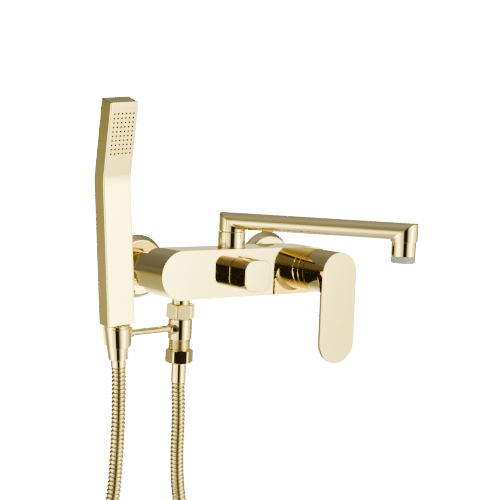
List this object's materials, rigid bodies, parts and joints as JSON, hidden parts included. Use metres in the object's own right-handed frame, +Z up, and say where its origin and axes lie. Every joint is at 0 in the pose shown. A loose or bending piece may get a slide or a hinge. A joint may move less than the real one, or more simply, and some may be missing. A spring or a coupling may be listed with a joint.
{
  "type": "wall mounted bath and shower mixer",
  "caption": "Wall mounted bath mixer with round-ended body, single lever, diverter knob, swivel spout, and a stick hand shower on a hose in a side holder.",
  "frame": {"origin": "on the wall face, midway between the centres of the two inlets", "axes": "+X to the right along the body as the user sees it, +Y into the wall, +Z up"},
  "size_m": [0.2797, 0.2198, 0.532],
  "materials": {
    "gold_plating": "polished gold plating",
    "raw_brass": "machined",
    "stainless_steel": "machined",
    "black_rubber": "matte",
    "white_plastic": "moulded",
    "grey_plastic": "satin",
    "ceramic": "lapped",
    "hose_metal": "gold-plated interlocked strip"
  },
  "bodies": {
    "mixer": {"body": "gold_plating", "wall_union_left": "raw_brass", "wall_union_right": "raw_brass", "wall_flange_left": "gold_plating", "wall_flange_right": "gold_plating", "union_nut_left": "gold_plating", "union_nut_right": "gold_plating", "inlet_washers": "black_rubber", "inlet_strainers": "stainless_steel", "bonnet": "gold_plating", "cartridge_base": "white_plastic", "cartridge_seals": "black_rubber", "fixed_disc": "ceramic", "cartridge_housing": "white_plastic", "cartridge_nut": "raw_brass", "diverter_housing": "raw_brass", "spout_socket": "gold_plating", "spout_screw": "stainless_steel", "outlet_nipple": "gold_plating", "outlet_washer": "black_rubber", "outlet_nut": "gold_plating", "holder_tee": "gold_plating", "check_valve": "white_plastic", "holder_arm": "gold_plating", "holder_clip": "gold_plating", "hose_washer": "black_rubber", "hose_nut": "gold_plating", "hose_ferrule": "gold_plating", "hose_run_outlet": "hose_metal", "hose_run_hand": "hose_metal", "hose_coil": "hose_metal", "hose_tie": "black_rubber"},
    "temperature_ring": {"lever_carrier": "white_plastic", "pivot_pin": "stainless_steel"},
    "ceramic_disc": {"moving_disc": "ceramic"},
    "lever_arm": {"lever": "gold_plating", "lever_stem": "stainless_steel", "lever_screw": "stainless_steel"},
    "diverter": {"diverter_stem": "raw_brass", "diverter_knob": "gold_plating", "knob_screw": "stainless_steel", "diverter_seal": "black_rubber"},
    "spout": {"spout_arm": "gold_plating", "spout_spigot": "raw_brass", "spout_o_rings": "black_rubber", "outlet_sleeve": "gold_plating", "aerator_housing": "grey_plastic", "aerator_insert": "white_plastic", "aerator_washer": "black_rubber"},
    "hose_end": {"hand_ferrule": "gold_plating"},
    "hand_shower": {"hand_nut": "gold_plating", "hand_washer": "black_rubber", "hand_inlet": "raw_brass", "hand_shell": "gold_plating", "spray_plate": "gold_plating", "nozzle_mat": "black_rubber"}
  },
  "joints": [
    {"name": "temperature_turn", "type": "hinge", "parent": "mixer", "child": "temperature_ring", "pos_m": [0.075, -0.097, 0], "axis": [0, 1, 0], "range_deg": [-45, 45]},
    {"name": "lever_lift", "type": "hinge", "parent": "temperature_ring", "child": "lever_arm", "pos_m": [0.075, -0.097, 0], "axis": [-1, 0, 0], "range_deg": [0, 20]},
    {"name": "disc_slide", "type": "slide", "parent": "temperature_ring", "child": "ceramic_disc", "axis": [0, 0, -1], "range_m": [0, 0.0042]},
    {"name": "diverter_turn", "type": "hinge", "parent": "mixer", "child": "diverter", "pos_m": [-0.01, -0.09, 0], "axis": [0, 1, 0], "range_deg": [0, 90]},
    {"name": "spout_swivel", "type": "hinge", "parent": "mixer", "child": "spout", "pos_m": [-0.01, -0.06, 0.03], "axis": [0, 0, 1], "range_deg": [-90, 40]},
    {"name": "hand_shower_lift", "type": "slide", "parent": "mixer", "child": "hose_end", "axis": [-0.0819, -0.0209, 0.9964], "range_m": [0, 0.06]},
    {"name": "hand_shower_turn", "type": "hinge", "parent": "hose_end", "child": "hand_shower", "pos_m": [-0.13485, -0.06882, -0.0493], "axis": [-0.0819, -0.0209, 0.9964], "range_deg": [-45, 45]}
  ],
  "couplings": [
    {"joint": "disc_slide", "follows": "lever_lift", "m_per_rad": 0.01175}
  ]
}
